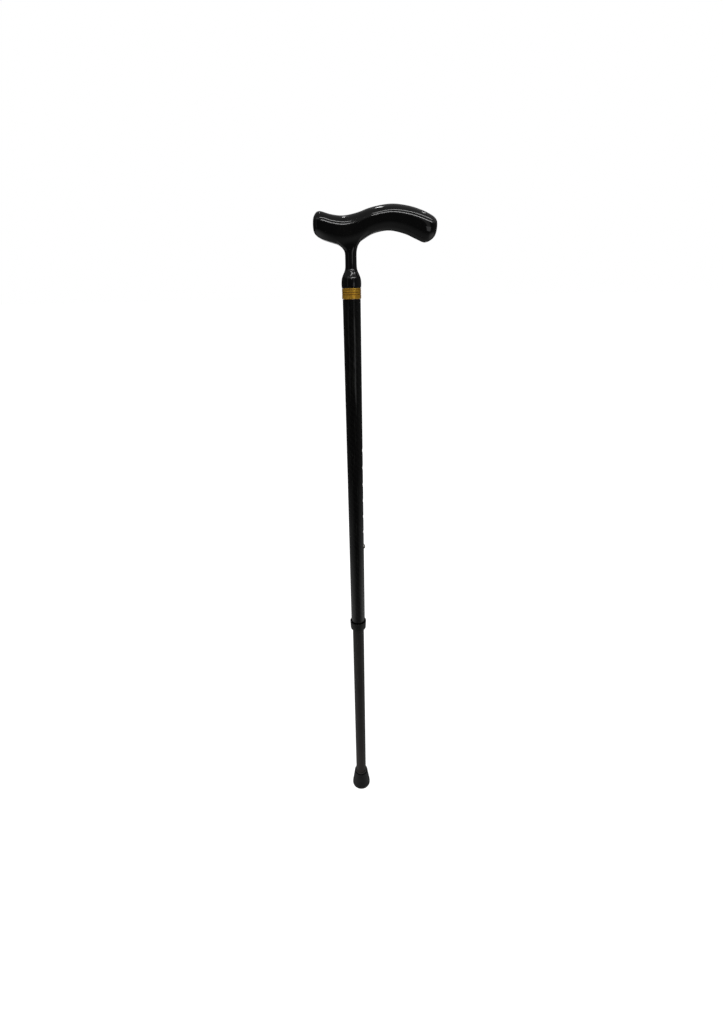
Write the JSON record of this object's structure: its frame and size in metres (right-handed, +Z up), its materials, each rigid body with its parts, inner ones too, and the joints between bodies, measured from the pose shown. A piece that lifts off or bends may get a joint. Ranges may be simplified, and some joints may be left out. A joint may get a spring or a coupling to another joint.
{
  "type": "adjustable walking cane",
  "caption": "Single point walking cane with a curved handle on a slim neck, a brass band, a push-button telescopic shaft with a lock collar, and a rubber tip.",
  "frame": {"origin": "centre of the rubber tip's flat underside, on the shaft's axis, with the shaft fully extended", "axes": "+Z up the shaft to the handle, +X towards the long gripping end of the handle and the side that the button faces, +Y across the handle"},
  "size_m": [0.1427, 0.0334, 0.9795],
  "materials": {
    "grip": "glossy black moulding",
    "steel": "plain steel",
    "plain_aluminium": "machined",
    "brass": "antique gold, turned grooves",
    "carbon_tube": "carbon fibre twill under a clear coat",
    "black_nylon": "satin",
    "natural_nylon": "satin",
    "dark_aluminium": "satin dark grey anodised",
    "chrome": "bright",
    "rubber": "matt"
  },
  "bodies": {
    "shaft": {"handle_grip": "grip", "handle_core": "steel", "handle_stud": "steel", "retaining_pin": "steel", "tube_top_plug": "plain_aluminium", "brass_band": "brass", "upper_tube": "carbon_tube", "threaded_sleeve": "black_nylon", "split_ring": "natural_nylon"},
    "collar": {"lock_collar": "black_nylon"},
    "extension": {"lower_tube": "dark_aluminium", "guide_plug": "natural_nylon", "spring_clip": "steel", "tip_washer": "steel", "rubber_tip": "rubber"},
    "button": {"snap_button": "chrome"}
  },
  "joints": [
    {"name": "height_adjust", "type": "slide", "parent": "shaft", "child": "extension", "axis": [0, 0, 1], "range_m": [0, 0.1524]},
    {"name": "lock_collar_turn", "type": "hinge", "parent": "shaft", "child": "collar", "pos_m": [0, 0, 0.392], "axis": [0, 0, -1], "range_deg": [0, 180]},
    {"name": "button_press", "type": "slide", "parent": "extension", "child": "button", "axis": [-1, 0, 0], "range_m": [0, 0.005], "stiffness_N_per_m": 1500, "springref_m": -0.004, "deforming": ["spring_clip"]}
  ]
}
